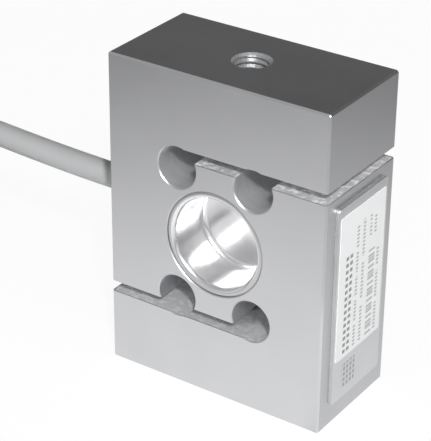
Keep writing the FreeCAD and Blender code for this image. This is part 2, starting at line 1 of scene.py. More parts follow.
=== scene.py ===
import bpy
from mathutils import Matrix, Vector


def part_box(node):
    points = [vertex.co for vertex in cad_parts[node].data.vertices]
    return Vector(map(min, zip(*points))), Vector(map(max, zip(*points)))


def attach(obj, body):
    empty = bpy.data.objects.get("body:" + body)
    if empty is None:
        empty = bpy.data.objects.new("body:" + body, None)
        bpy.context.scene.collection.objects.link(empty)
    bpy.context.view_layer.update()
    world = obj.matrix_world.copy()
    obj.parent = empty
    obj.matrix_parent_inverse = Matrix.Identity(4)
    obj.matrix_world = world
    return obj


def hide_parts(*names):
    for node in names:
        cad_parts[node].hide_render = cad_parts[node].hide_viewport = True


bl_info = {
    "name": "S type load cell",
    "version": (1, 0, 0),
    "blender": (4, 5, 0),
    "location": "View3D > Sidebar > Load cell",
    "description": "Dresses the frame of an S type load cell with its finishes, cable and label",
    "category": "Object",
}

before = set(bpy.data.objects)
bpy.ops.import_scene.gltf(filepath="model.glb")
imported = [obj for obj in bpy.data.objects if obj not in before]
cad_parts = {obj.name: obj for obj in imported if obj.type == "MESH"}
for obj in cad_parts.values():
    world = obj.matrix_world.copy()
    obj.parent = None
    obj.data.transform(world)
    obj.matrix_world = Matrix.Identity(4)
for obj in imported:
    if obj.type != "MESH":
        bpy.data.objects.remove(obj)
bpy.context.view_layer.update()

import math

import bmesh
import bpy
from bpy.props import FloatProperty, FloatVectorProperty, IntProperty, PointerProperty
from mathutils import Matrix, Vector

BODY = "root"
MM = 0.001
WELD = 0.001 * MM
BODY_LOW, BODY_HIGH = (Vector(corner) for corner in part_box("spring_body"))
HALF_WIDTH, HALF_DEPTH, MIDDLE = BODY_HIGH.x, BODY_HIGH.y, BODY_HIGH.z / 2


# ---------------------------------------------------------------- settings


def length(name, about, default):
    return FloatProperty(name=name, description=about, default=default, unit="LENGTH", precision=5)


def angle(name, about, degrees):
    return FloatProperty(name=name, description=about, default=math.radians(degrees), subtype="ANGLE")


def share(name, about, default):
    return FloatProperty(name=name, description=about, default=default, min=0, max=1, subtype="FACTOR")


def colour(name, about, *default):
    return FloatVectorProperty(name=name, description=about, default=default, subtype="COLOR", min=0, max=1)


class BodySettings(bpy.types.PropertyGroup):
    """The spring body's threads and its plated finish."""

    thread_pitch: length("Thread pitch", "Rise of the tapped holes' thread in one turn", 1.25 * MM)
    thread_major: length("Thread diameter", "Major diameter of the tapped holes", 8.0 * MM)
    thread_sides: IntProperty(
        name="Thread sides", description="Straight sides in one turn", default=48, min=12,
    )
    thread_crest: length("Thread crest", "Radius of the thread's crests", 3.36 * MM)
    thread_reach: length("Thread reach", "Distance from the axis that takes the threads' finish", 4.3 * MM)
    relief_radius: length("Relief radius", "Radius of the relief holes", 4.45 * MM)
    relief_reach: length("Relief reach", "Distance of the relief holes from the middle, across", 8.9 * MM)
    relief_rise: length("Relief rise", "Distance of the relief holes from the middle, up", 14.5 * MM)
    slot_height: length("Slot height", "Height of the sawn slots", 2.5 * MM)
    edge_break: length("Edge break", "Chamfer along the block's edges", 0.4 * MM)
    # Painted highlight: the right side's upright edges are painted brighter up to a height, and fade out
    # above it.
    highlit: share("Edge highlight", "How much brighter the right side's rubbed upright edges are", 0.22)
    highlit_full: length("Highlight height", "Height up to which these edges are fully rubbed", 24 * MM)
    highlit_end: length("Highlight end", "Height above which these edges aren't rubbed", 34 * MM)
    relief_edge: length("Relief edge", "Chamfer round the openings of the cutout", 0.25 * MM)
    slot_inset: length("Slot inset", "How far inside the relief holes the slots' outer sides lie", 0.1 * MM)
    plate: colour("Plate", "Satin nickel plate on the ground faces", 0.65, 0.653, 0.668)
    plate_roughness: share("Plate roughness", "How soft the plate's reflections are", 0.33)
    sawn: colour("Sawn face", "Plate on the sawn slots", 0.93, 0.935, 0.95)
    drilled: colour("Drilled face", "Plate in the relief holes", 0.62, 0.625, 0.64)
    tapped: colour("Tapped face", "Plate in the tapped holes", 0.32, 0.325, 0.335)
    cut_roughness: share("Cut roughness", "Roughness of the sawn and drilled faces", 0.55)
    sawn_metallic: share("Sawn metallic", "How metallic the matt sawn faces are", 0.45)
    drilled_metallic: share("Drilled metallic", "How metallic the upper relief holes' walls are", 0.70)
    tapped_metallic: share("Tapped metallic", "How metallic the tapped holes' walls are", 0.37)
    # Painted light: the lower relief holes' walls and the lower slot's faces are painted lighter than the
    # upper ones'.
    lower_holes_painted_light: share("Lower holes", "How much lighter the lower relief holes' walls are", 0.15)
    lower_slot_painted_light: share("Lower slot", "How much lighter the lower slot's faces are", 0.11)
    lower_calm: share("Lower calm", "How much weaker the lower slot's flecks are", 0.6)


class CupSettings(bpy.types.PropertyGroup):
    """The deep-drawn sealing cups."""

    sheet: length("Sheet", "Thickness of the drawn sheet", 0.3 * MM)
    overhang: length("Overhang", "How far the flange stands out past the wall", 1.2 * MM)
    corner: length("Corner", "Inside radius between the wall and the floor", 1.4 * MM)
    lip: length("Lip", "Radius of the lip between the wall and the flange", 1.0 * MM)
    crown: length("Crown", "How far the flange falls away at its edge", 0.06 * MM)
    dome: length("Dome", "How far the floor bulges towards the mouth", 0.12 * MM)
    steel: colour("Steel", "Polished stainless steel", 0.88, 0.88, 0.89)
    flange: colour("Flange", "Ground stainless steel of the flange", 0.60, 0.603, 0.615)
    roughness: share("Roughness", "How soft the cups' reflections are", 0.22)


class CoverSettings(bpy.types.PropertyGroup):
    """The side cover plate and its label."""

    plate: colour("Plate", "Satin metal of the cover plate", 0.79, 0.795, 0.805)
    plate_roughness: share("Plate roughness", "How soft the plate's reflections are", 0.50)
    film: colour("Film", "White film of the label", 0.86, 0.865, 0.87)
    ink: colour("Ink", "Grey ink of the label's marks", 0.20, 0.20, 0.205)


class InsideSettings(bpy.types.PropertyGroup):
    """The gauges, the board, the gland and the rubber parts."""

    backing: colour("Gauge backing", "Brown film that carries the gauges' foil", 0.42, 0.20, 0.05)
    foil: colour("Gauge foil", "Foil of the gauges' grids", 0.60, 0.56, 0.50)
    copper: colour("Copper", "Wires that join the gauges", 0.75, 0.30, 0.16)
    board: colour("Board", "Green lacquer of the board", 0.02, 0.16, 0.07)
    tracks: colour("Tracks", "Lacquer over the board's tracks", 0.05, 0.26, 0.12)
    foam: colour("Foam", "Black foam of the board's spacer", 0.05, 0.05, 0.05)
    chip: colour("Resistors", "Black bodies of the resistors", 0.02, 0.02, 0.022)
    caps: colour("Resistor ends", "Tinned ends of the resistors", 0.6, 0.6, 0.58)
    gland: colour("Gland", "Plated metal of the cable gland", 0.66, 0.64, 0.60)
    rubber: colour("Rubber", "Grey rubber of the gasket and the seal", 0.32, 0.32, 0.33)


class CableSettings(bpy.types.PropertyGroup):
    """The cable, its put-away hank and its straps."""

    diameter: length("Diameter", "Outer diameter of the jacket", 5.5 * MM)
    whole: length("Length", "Whole length outside the gland", 2.0)
    jacket: colour("Jacket", "Grey of the jacket", 0.47, 0.475, 0.48)
    stripped: length("Stripped length", "Bare tinned strands at the ends of the wires", 4 * MM)
    tin: colour("Tin", "Tinned strands of the wires and the braid", 0.72, 0.70, 0.66)
    strap: colour("Strap", "Colour of the hook-and-loop straps", 0.022, 0.022, 0.025)
    hank_right: length(
        "Hank's right", "Distance from the cell's axis to the centre of the hank's right turns", 93 * MM,
    )
    hank_straight: length("Hank's straight", "Length of the hank's straight sides", 58 * MM)
    hank_middle: length("Hank's middle", "Place of the hank's long axis across the depth", -12 * MM)
    hank_radius: length("Hank's radius", "Centre line radius of the inner turns", 16.5 * MM)
    strap_thickness: length("Strap thickness", "Thickness under the hank's lowest turns", 0.8 * MM)


class StageSettings(bpy.types.PropertyGroup):
    """The floor, the light and the camera."""

    floor: colour("Floor", "Pale floor", 0.80, 0.80, 0.80)
    floor_reach: length("Floor reach", "Distance from the cell's axis to the floor's sides", 4.0)
    floor_gap: length("Floor gap", "How far below the cell the floor lies", 0.05 * MM)
    lift: share("Floor lift", "Share of the floor's white that needs no lamp, where it is seen", 0.93)
    glow: share("Floor glow", "Brightness of the mirrored floor beside the cell", 1.0)
    glow_middle: FloatVectorProperty(
        name="Glow's middle", description="Brightest point of the mirrored floor", unit="LENGTH",
        size=2, default=(10 * MM, -20 * MM),
    )
    glow_reach: length("Glow reach", "Distance at which the mirrored floor is half as bright", 146 * MM)
    glow_fall: FloatProperty(
        name="Glow's fall", description="How steeply the mirrored floor darkens there", default=1.5,
    )
    shadow: share("Mirrored shadow", "How much darker the mirrored floor is just right of the cell", 0.22)
    shadow_start: length("Shadow's start", "Where the mirrored shadow starts", 20 * MM)
    shadow_full: length("Shadow's full", "Where the mirrored shadow is deepest", 28 * MM)
    shadow_end: length("Shadow's end", "Where the mirrored shadow has gone", 95 * MM)
    pale: share("Pale sky", "Brightness of the surroundings near the horizon", 0.90)
    front: share("Front sky", "Brightness of the surroundings overhead at the front", 0.45)
    dark: share("Dark sky", "Brightness of the surroundings overhead at the back", 0.04)
    lens: FloatProperty(name="Lens", description="Focal length", default=146.75, unit="CAMERA")
    azimuth: angle("Azimuth", "Camera's turn to the right of the front", 34.17)
    elevation: angle("Elevation", "Camera's rise above the horizon", 28.5)
    roll: angle("Roll", "Camera's turn about its own axis", 0.53)
    distance: length("Distance", "Camera's distance from its target", 368.1 * MM)
    target: FloatVectorProperty(
        name="Target", description="Point that the camera looks at", unit="LENGTH",
        default=(-8.19 * MM, 0.0, 32.37 * MM),
    )


class LoadCellSettings(bpy.types.PropertyGroup):
    """Every group of settings of the load cell."""

    body: PointerProperty(type=BodySettings)
    cup: PointerProperty(type=CupSettings)
    cover: PointerProperty(type=CoverSettings)
    inside: PointerProperty(type=InsideSettings)
    cable: PointerProperty(type=CableSettings)
    stage: PointerProperty(type=StageSettings)


def settings():
    """The load cell's settings in the open scene."""
    return bpy.context.scene.load_cell


# ---------------------------------------------------------------- shader maths


class Value:
    """A shader socket that takes part in sums; each operator adds its Math node."""

    def __init__(self, finish, socket):
        self.finish, self.socket = finish, socket

    def __add__(self, other):
        return self.finish.maths("ADD", self, other)

    def __sub__(self, other):
        return self.finish.maths("SUBTRACT", self, other)

    def __rsub__(self, other):
        return self.finish.maths("SUBTRACT", other, self)

    def __mul__(self, other):
        return self.finish.maths("MULTIPLY", self, other)

    def __truediv__(self, other):
        return self.finish.maths("DIVIDE", self, other)

    def __rtruediv__(self, other):
        return self.finish.maths("DIVIDE", other, self)

    def __gt__(self, other):
        return self.finish.maths("GREATER_THAN", self, other)

    def __lt__(self, other):
        return self.finish.maths("LESS_THAN", self, other)

    __radd__, __rmul__ = __add__, __mul__


class Nodes:
    """The nodes of a material or a world, and the shader that they vary."""

    def __init__(self, owner, shader):
        owner.use_nodes = True
        self.tree = owner.node_tree
        self.shader = self.tree.nodes.get(shader)

    def set(self, **sockets):
        """Feeds the shader's sockets, named with an underscore for each space."""
        for socket, value in sockets.items():
            self.feed(self.shader.inputs[socket.replace("_", " ")], value)

    def feed(self, socket, value):
        """Links a Value to a socket, or sets the socket to a number or colour."""
        if isinstance(value, Value):
            self.tree.links.new(value.socket, socket)
        elif socket.type == "RGBA":
            socket.default_value = (*value[:3], 1.0)
        else:
            socket.default_value = value

    def node(self, kind, settings=None, sockets=None, output=0):
        """Adds a node, its settings first and then its sockets, and gives one of its outputs."""
        node = self.tree.nodes.new("ShaderNode" + kind)
        for name, value in (settings or {}).items():
            setattr(node, name, value)
        for name, value in (sockets or {}).items():
            self.feed(node.inputs[name], value)
        return Value(self, node.outputs[output])

    def maths(self, operation, a, b=0.0):
        """The result of a Math node."""
        return self.node("Math", {"operation": operation}, {0: a, 1: b})

    def place(self):
        """Where a point of the surface is, in millimetres."""
        where = self.node("TexCoord", output="Object")
        return self.node("VectorMath", {"operation": "SCALE"}, {0: where, "Scale": 1 / MM})

    def parts(self, vector, axes="XYZ"):
        """The parts of a vector along the named axes."""
        return [self.node("SeparateXYZ", sockets={0: vector}, output=axis) for axis in axes]

    def noise(self, where, scale, detail=3.0, stretch=(1, 1, 1), roughness=0.5):
        """Noise whose grain is about 1 / scale millimetres, drawn out where stretch is under 1."""
        where = self.node("VectorMath", {"operation": "MULTIPLY"}, {0: where, 1: stretch})
        sockets = {"Vector": where, "Scale": scale, "Detail": detail, "Roughness": roughness}
        return self.node("TexNoise", sockets=sockets)

    def ramp(self, value, low, high, start=0.0, end=1.0):
        """Smoothly from start to end as a value goes from low to high."""
        kind = {"interpolation_type": "SMOOTHSTEP", "clamp": True}
        return self.node("MapRange", kind, {0: value, 1: low, 2: high, 3: start, 4: end})

    def band(self, value, low, high):
        """1 where a value lies between low and high, and 0 elsewhere."""
        return (value > low) * (value < high)

    def mix(self, factor, a, b):
        """A colour between a and b."""
        return self.node("Mix", {"data_type": "RGBA"}, {0: factor, 6: a, 7: b}, output=2)

    def shade(self, colour, value):
        """A colour, written or linked, times a number."""
        colour = colour if isinstance(colour, Value) else colour[:3]
        return self.node("VectorMath", {"operation": "SCALE"}, {0: colour, "Scale": value})

    def plus(self, a, b):
        """The sum of two colours."""
        return self.node("VectorMath", {"operation": "ADD"}, {0: a, 1: b})

    def absolute(self, value):
        """A value without its sign."""
        return self.maths("ABSOLUTE", value)


class Finish(Nodes):
    """A material of one Principled shader."""

    def __init__(self, name, **constants):
        self.material = bpy.data.materials.new(name)
        super().__init__(self.material, "Principled BSDF")
        self.set(**constants)

    def bump(self, height, distance, strength=1.0):
        """Feeds a height, in units of a distance in metres, to the shader's normal."""
        sockets = {"Height": height, "Distance": distance, "Strength": strength}
        self.set(Normal=self.node("Bump", sockets=sockets))


# ---------------------------------------------------------------- helpers for pieces


def give(node, finish):
    """Gives a carried-over CAD node its finish."""
    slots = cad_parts[node].data.materials
    slots.clear()
    slots.append(finish.material)


def new_piece(name, shape, finish, replaced=()):
    """Links a new piece, a mesh or a curve, that rides on the body."""
    piece = bpy.data.objects.new(name, shape)
    bpy.context.scene.collection.objects.link(piece)
    shape.materials.clear()
    shape.materials.append(finish.material)
    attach(piece, BODY)
    if replaced:
        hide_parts(*replaced)
    return piece


def smooth(mesh, degrees=30.0):
    """Shades a mesh smooth, and sharp where its faces meet at more than an angle."""
    for name in ("custom_normal", "sharp_edge", "sharp_face"):
        if name in mesh.attributes:
            mesh.attributes.remove(mesh.attributes[name])
    mesh.shade_smooth()
    mesh.set_sharp_from_angle(angle=math.radians(degrees))


# ---------------------------------------------------------------- spring body


def plate_finish():
    """Satin plate on the ground faces, matt in the slots and relief holes, dark in the tapped holes."""
    look = settings().body
    finish = Finish("plated_steel")
    where = finish.place()
    x, y, z = finish.parts(where)
    across, up = finish.absolute(x), finish.absolute(z - MIDDLE / MM)
    radius, reach, rise = look.relief_radius / MM, look.relief_reach / MM, look.relief_rise / MM
    slot = rise + radius - (look.slot_inset + look.slot_height) / MM
    aside, above = across - reach, up - rise
    # How far the zones reach past their own faces, or the threads' stops short of the ends, in millimetres.
    edge = 0.01
    depth, width = (HALF_DEPTH - look.relief_edge) / MM, (HALF_WIDTH - look.relief_edge) / MM
    inside = (finish.absolute(y) < depth) * (across < width)
    sawn = inside * finish.band(up, slot - edge, rise + radius + edge)
    drilled = inside * (aside * aside + above * above < (radius + edge) ** 2) * (1 - sawn)
    cut = drilled + sawn
    tap = (look.thread_reach / MM) ** 2
    threaded = (x * x + y * y < tap) * (up > slot) * (up < MIDDLE / MM - edge)

    cloud = finish.noise(where, 0.07, 2.0)
    grain = finish.noise(where, 9.0, 2.0)
    lay = finish.noise(where, 5.0, 3.0, stretch=(0.05, 0.05, 1.0))
    feed = finish.noise(where, 1.3, 3.0, stretch=(0.25, 1.0, 0.25))
    teeth = finish.noise(where, 0.8, 4.0, stretch=(0.8, 1.0, 1.0), roughness=0.6)
    chips = finish.ramp(finish.noise(where, 0.7, 2.0), 0.48, 0.66)
    burrs = finish.noise(where, 1.6, 3.0)

    # Painted highlight: the plate is painted brighter along the right side's upright edges, fully up to one
    # height and fading out by another.
    side, front = (HALF_WIDTH - look.edge_break) / MM, (HALF_DEPTH - look.edge_break) / MM
    highlit = (x > side) * (finish.absolute(y) > front)
    highlit *= 1 - finish.ramp(z, look.highlit_full / MM, look.highlit_end / MM)
    tone_and_highlight = 0.92 + 0.10 * cloud + 0.05 * lay + look.highlit * highlit
    ground = finish.shade(look.plate, tone_and_highlight * (1 - cut - threaded))
    tapped = finish.shade(look.tapped, threaded * (0.8 + 0.4 * burrs))
    # Painted light: below the middle, the relief holes' walls and the slot's faces are painted lighter than
    # above it.
    lower = z < MIDDLE / MM
    bored = finish.shade(look.drilled, (0.85 + 0.30 * feed + look.lower_holes_painted_light * lower) * drilled)
    flecks = (0.40 * teeth + 0.40 * chips) * (1 - look.lower_calm * lower)
    slotted = finish.shade(look.sawn, (0.54 + flecks + look.lower_slot_painted_light * lower) * sawn)
    matt = (1 - look.drilled_metallic) * drilled * (1 - lower)
    matt += (1 - look.sawn_metallic) * sawn + (1 - look.tapped_metallic) * threaded
    satin = look.plate_roughness + 0.05 * cloud + 0.04 * grain
    finish.set(
        Base_Color=finish.plus(finish.plus(ground, tapped), finish.plus(bored, slotted)),
        Metallic=1 - matt,
        Roughness=satin * (1 - cut) + look.cut_roughness * cut,
    )
    relief = (grain + lay) * 0.012 * (1 - cut) + feed * 0.3 * drilled + teeth * sawn + burrs * threaded
    finish.bump(relief, 0.25 * MM, 0.5)
    return finish


def thread_cutter(bottom, top):
    """A closed screw that cuts a thread into a tapped hole; both its ends lie in free space."""
    look = settings().body
    pitch, sides = look.thread_pitch, look.thread_sides
    inner, outer = look.thread_crest, look.thread_major / 2
    # Where the crest, the first flank and the root end, as shares of the pitch.
    crest, flank, root = 0.29, 0.58, 0.71
    profile = [(0.0, inner), (crest, inner), (flank, outer), (root, outer)]
    turns = math.ceil((top - bottom) / pitch)
    bm = bmesh.new()
    columns = []
    for side in range(sides):
        around = 2 * math.pi * side / sides
        column = []
        for turn in range(turns):
            for rise, radius in profile:
                z = bottom + (turn + rise + side / sides) * pitch
                column.append(bm.verts.new((radius * math.cos(around), radius * math.sin(around), z)))
        columns.append(column)
    rows = len(columns[0])
    for side in range(sides):
        here = columns[side]
        shift = len(profile) if side == sides - 1 else 0
        there = columns[(side + 1) % sides]
        for row in range(rows - 1 - shift):
            bm.faces.new((here[row], there[row + shift], there[row + shift + 1], here[row + 1]))
    halfway = bottom + turns * pitch / 2
    # The upper end's middle, which stands clear of the last turn.
    tip = bottom + (turns + 0.4) * pitch
    for upper, z in ((False, bottom), (True, tip)):
        middle = bm.verts.new((0, 0, z))
        for edge in [e for e in bm.edges if e.is_boundary and (e.verts[0].co.z > halfway) == upper]:
            bm.faces.new((edge.verts[0], edge.verts[1], middle))
    bmesh.ops.recalc_face_normals(bm, faces=bm.faces)
    mesh = bpy.data.meshes.new("thread_cutter")
    bm.to_mesh(mesh)
    bm.free()
    return bpy.data.objects.new("thread_cutter", mesh)


def soften_threads(mesh):
    """Shades the threads smooth, as a tap leaves their crests slightly rounded."""
    slack, margin = 0.02 * MM, 0.1 * MM
    hole = settings().body.thread_major / 2 + slack
    bottom, top = BODY_LOW.z + margin, BODY_HIGH.z - margin

    def threaded(vertex):
        place = mesh.vertices[vertex].co
        return place.xy.length < hole and bottom < place.z < top

    sharp = mesh.attributes["sharp_edge"].data
    for edge in mesh.edges:
        if all(threaded(vertex) for vertex in edge.vertices):
            sharp[edge.index].value = False


def machined_body():
    """A copy of the body's solid with a thread cut in both of its tapped holes."""
    look = settings().body
    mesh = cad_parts["spring_body"].data.copy()
    bm = bmesh.new()
    bm.from_mesh(mesh)
    bmesh.ops.remove_doubles(bm, verts=bm.verts, dist=WELD)
    bm.to_mesh(mesh)
    bm.free()
    work = bpy.data.objects.new("thread_work", mesh)
    bpy.context.scene.collection.objects.link(work)
    slot = look.relief_rise + look.relief_radius - look.slot_inset - look.slot_height / 2
    pitch = look.thread_pitch
    upper_hole = (MIDDLE + slot, BODY_HIGH.z + pitch)
    lower_hole = (BODY_LOW.z - pitch, MIDDLE - slot - pitch / 2)
    for bottom, top in (upper_hole, lower_hole):
        cutter = thread_cutter(bottom, top)
        bpy.context.scene.collection.objects.link(cutter)
        cut = work.modifiers.new("thread", "BOOLEAN")
        cut.operation, cut.solver, cut.object = "DIFFERENCE", "EXACT", cutter
    made = bpy.data.meshes.new_from_object(work.evaluated_get(bpy.context.evaluated_depsgraph_get()))
    for item in [work] + [cut.object for cut in work.modifiers]:
        bpy.data.objects.remove(item)
    smooth(made)
    soften_threads(made)
    return made


class LOADCELL_OT_spring_body(bpy.types.Operator):
    """Cuts the threads of the spring body and gives it its plated and sawn finishes"""

    bl_idname = "loadcell.spring_body"
    bl_label = "Spring body"

    def execute(self, context):
        new_piece("machined_body", machined_body(), plate_finish(), ["spring_body"])
        return {"FINISHED"}


# ---------------------------------------------------------------- sealing cups, gauges and bridge wires


def arc(across, deep, radius, start, end, steps=6):
    """Points of a profile's round stretch, from one angle in degrees to another."""
    turns = [math.radians(start + (end - start) * step / steps) for step in range(steps + 1)]
    return [(across + radius * math.cos(turn), deep + radius * math.sin(turn)) for turn in turns]


def cup_profile(flange, depth):
    """The drawn sheet's section as distances from the axis and depths, from its back to its front."""
    look = settings().cup
    sheet, corner, lip = look.sheet, look.corner, look.lip
    outer = flange - look.overhang
    inner = outer - sheet
    floor = depth - sheet
    # Radius of the flange's rounded rim, and the floor's bulge halfway out.
    edge, halfway = sheet * 0.4, look.dome * 0.75
    back = [(0, depth - look.dome), ((outer - corner - sheet) / 2, depth - halfway)]
    back += arc(outer - corner - sheet, floor - corner, corner + sheet, 90, 0)
    back += arc(outer + lip - sheet, lip, lip - sheet, 180, 270)
    rim = arc(flange - edge, look.crown + edge, edge, 45, -80, 5)
    crest = [((flange + inner + lip) / 2, 0.1 * look.crown)]
    front = arc(inner + lip, lip, lip, 270, 180, 8)
    front += arc(inner - corner, floor - corner, corner, 0, 90, 8)
    front += [((inner - corner) / 2, floor - halfway), (0, floor - look.dome)]
    return back + [(flange - edge, sheet)] + rim + crest + front


def turned(name, profile, place, sides=96):
    """A mesh turned about the depth axis; place gives a point from a distance, a depth and an angle."""
    bm = bmesh.new()
    rings = []
    for across, deep in profile:
        count = 1 if across == 0 else sides
        turns = [2 * math.pi * side / sides for side in range(count)]
        rings.append([bm.verts.new(place(across, deep, turn)) for turn in turns])
    for before, after in zip(rings, rings[1:]):
        walk = ((before, 0), (before, 1), (after, 1), (after, 0))
        for side in range(sides):
            corners = [ring[(side + step) % len(ring)] for ring, step in walk]
            bm.faces.new(list(dict.fromkeys(corners)))
    bmesh.ops.recalc_face_normals(bm, faces=bm.faces)
    mesh = bpy.data.meshes.new(name)
    bm.to_mesh(mesh)
    bm.free()
    smooth(mesh, 50)
    return mesh


def cup_finish(flange):
    """Polished inside, ground like the body on the flange."""
    look = settings().cup
    finish = Finish("bright_steel", Metallic=1.0)
    where = finish.place()
    x, z = finish.parts(where, "XZ")
    up = z - MIDDLE / MM
    away = finish.maths("SQRT", x * x + up * up)
    lip, ring = flange - look.overhang + look.lip / 3, flange - look.overhang / 2
    ground = finish.ramp(away, lip / MM, ring / MM)
    drawn = finish.noise(where, 1.2, 3.0, stretch=(1.0, 0.15, 1.0))
    haze = finish.noise(where, 0.35, 2.0)
    bright = finish.mix(ground, look.steel, look.flange)
    finish.set(
        Base_Color=finish.shade(bright, 0.96 + 0.06 * haze),
        Roughness=look.roughness + 0.05 * haze + 0.08 * ground,
    )
    finish.bump(drawn, 0.04 * MM, 0.15)
    return finish


class LOADCELL_OT_cups(bpy.types.Operator):
    """Forms and polishes the two deep-drawn sealing cups"""

    bl_idname = "loadcell.cups"
    bl_label = "Sealing cups"

    def execute(self, context):
        finish = cup_finish(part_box("front_sealing_cup")[1][0])
        for end, way in (("front", -1), ("rear", 1)):
            low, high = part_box(f"{end}_sealing_cup")
            flange, mouth = high[0], max(abs(low[1]), abs(high[1]))

            def place(across, deep, turn):
                return across * math.cos(turn), way * (mouth - deep), MIDDLE + across * math.sin(turn)

            profile = cup_profile(flange, high[1] - low[1])
            mesh = turned(f"{end}_cup", profile, place)
            new_piece(f"{end}_cup", mesh, finish, [f"{end}_sealing_cup"])
        return {"FINISHED"}


def foil_finish():
    """A grid of metal lines on brown film; the lines are as wide as their gaps."""
    look = settings().inside
    finish = Finish("gauge_foil", Roughness=0.4)
    [y] = finish.parts(finish.place(), "Y")
    line = 0.2
    grid = finish.maths("PINGPONG", y, line) > line / 2
    finish.set(Base_Color=finish.mix(grid, look.backing, look.foil), Metallic=grid)
    return finish


def copper_finish():
    """Copper wire, uneven in tone and gloss."""
    finish = Finish("copper_wire", Metallic=1.0)
    tone = finish.noise(finish.place(), 3.0)
    finish.set(
        Base_Color=finish.shade(settings().inside.copper, 0.8 + 0.3 * tone),
        Roughness=0.25 + 0.15 * tone,
    )
    return finish


class LOADCELL_OT_gauges(bpy.types.Operator):
    """Finishes the bonded foil gauges and the wires that join them"""

    bl_idname = "loadcell.gauges"
    bl_label = "Gauges and bridge wires"

    def execute(self, context):
        foil, copper = foil_finish(), copper_finish()
        for level in ("upper", "lower"):
            give(f"{level}_bridge_wire", copper)
            for side in ("left", "right"):
                give(f"{level}_{side}_gauge", foil)
        return {"FINISHED"}


# ---------------------------------------------------------------- cover, label and board

# The cover's printing, in millimetres. A place is its two sides across the plate, then its two ends up it.
SQUARE, SQUARE_PITCH = (-5.6, -0.6, 7.4, 13.0), 1.25
BOLD_ROW, BOLD_GAP, BOLD_PITCH = (-6.0, -3.5, 15.8, 38.3), (-5.0, -4.5, 15.8, 38.3), 1.5
CODE_ROW, CODE_PITCHES = (2.7, 5.0, 15.8, 35.3), ((1.27, 0.42), (1.91, 0.22))

# The rows of fine bars, and the length of the groups that the bars stand in.
FINE_ROWS = [
    ((-2.2, -1.3, 15.8, 43.8), 5.6),
    ((0.1, 1.0, 15.8, 44.8), 9.7),
    ((2.7, 3.5, 38.6, 43.6), 3.3),
    ((4.5, 5.3, 38.6, 42.4), 4.6),
    ((5.8, 6.7, 15.8, 34.8), 7.3),
]
FINE_PITCH = 0.83


def cover_finish():
    """Satin plate with a small square of plain grey bars below the label."""
    look = settings().cover
    finish = Finish("cover_metal", Metallic=1.0)
    where = finish.place()
    y, z = finish.parts(where, "YZ")
    lines = finish.noise(where, 6.0, 3.0, stretch=(1.0, 1.0, 0.06))
    cloud = finish.noise(where, 0.12, 2.0)
    column, row = (finish.maths("FRACT", part / SQUARE_PITCH) for part in (y, z))
    bars = (column < 0.6) * (row < 0.7)
    square = finish.band(y, *SQUARE[:2]) * finish.band(z, *SQUARE[2:])
    finish.set(
        Base_Color=finish.shade(look.plate, 0.94 + 0.10 * cloud - 0.35 * square * bars),
        Roughness=look.plate_roughness + 0.08 * lines,
    )
    finish.bump(lines, 0.05 * MM, 0.25)
    return finish


def label_finish():
    """White film with rows of plain bars; the rows run up the plate."""
    look = settings().cover
    finish = Finish("label_film", Roughness=0.42, Coat_Weight=0.15, Coat_Roughness=0.25)
    where = finish.place()
    y, z = finish.parts(where, "YZ")

    def bars(place, pitch, fill):
        """Bars along a place, a pitch apart, each filling a share of it."""
        left, right, start, end = place
        beat = finish.maths("FRACT", (z - start) / pitch)
        return finish.band(y, left, right) * finish.band(z, start, end) * (beat < fill)

    split = 1 - bars(BOLD_GAP, BOLD_PITCH, 0.6)
    bold = bars(BOLD_ROW, BOLD_PITCH, 0.55) * split
    fine = sum(bars(place, FINE_PITCH, 0.55) * bars(place, group, 0.84) for place, group in FINE_ROWS)
    code = sum(bars(CODE_ROW, pitch, fill) for pitch, fill in CODE_PITCHES)
    ink = bold * 0.9 + finish.ramp(fine + code, 0.0, 1.0) * 0.62
    cloud = finish.noise(where, 0.3, 2.0)
    film = finish.shade(look.film, 0.97 + 0.04 * cloud)
    finish.set(Base_Color=finish.mix(ink, film, look.ink))
    finish.bump(finish.noise(where, 3.0, 2.0), 0.02 * MM, 0.3)
    return finish


class LOADCELL_OT_cover(bpy.types.Operator):
    """Finishes the side cover plate, its gasket and its label"""

    bl_idname = "loadcell.cover"
    bl_label = "Cover and label"

    def execute(self, context):
        give("side_cover_plate", cover_finish())
        give("rating_label", label_finish())
        give("cover_gasket", rubber_finish("cover_gasket"))
        return {"FINISHED"}


def rubber_finish(name):
    """Dull grey rubber with a fine grain."""
    finish = Finish(name, Roughness=0.6)
    grain = finish.noise(finish.place(), 4.0)
    finish.set(Base_Color=finish.shade(settings().inside.rubber, 0.7 + 0.6 * grain))
    finish.bump(grain, 0.05 * MM, 0.4)
    return finish


def board_finish():
    """Green board with lighter tracks along it."""
    look = settings().inside
    finish = Finish("board_laminate", Roughness=0.3)
    [y] = finish.parts(finish.place(), "Y")
    spacing, half_track = 1.5, 0.25
    tracks = finish.maths("PINGPONG", y, spacing) > spacing - half_track
    finish.set(Base_Color=finish.mix(tracks, look.board, look.tracks))
    return finish


def foam_finish():
    """Black foam with open cells."""
    finish = Finish("foam", Roughness=0.9)
    cells = finish.noise(finish.place(), 2.5)
    finish.set(Base_Color=finish.shade(settings().inside.foam, 0.6 + 0.8 * cells))
    finish.bump(cells, 0.2 * MM, 0.6)
    return finish


# The lower row of resistors, then the upper one.
RESISTORS = ("span_resistors", "balance_resistors")


def chip_finish():
    """Black resistors with tinned ends, in a lower and an upper row."""
    look = settings().inside
    finish = Finish("resistor_body", Roughness=0.25)
    [z] = finish.parts(finish.place(), "Z")
    lower, upper = (sum(corner[2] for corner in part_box(node)) / 2 / MM for node in RESISTORS)
    half_body = 1.2
    off_middle = finish.absolute(z - (lower + upper) / 2)
    ends = finish.absolute(off_middle - (upper - lower) / 2) > half_body
    finish.set(Base_Color=finish.mix(ends, look.chip, look.caps), Metallic=ends)
    return finish


# Colours of the wires' insulation.
INSULATION = {
    "red": (0.55, 0.02, 0.015),
    "black": (0.015, 0.015, 0.016),
    "green": (0.015, 0.24, 0.06),
    "white": (0.80, 0.80, 0.77),
}


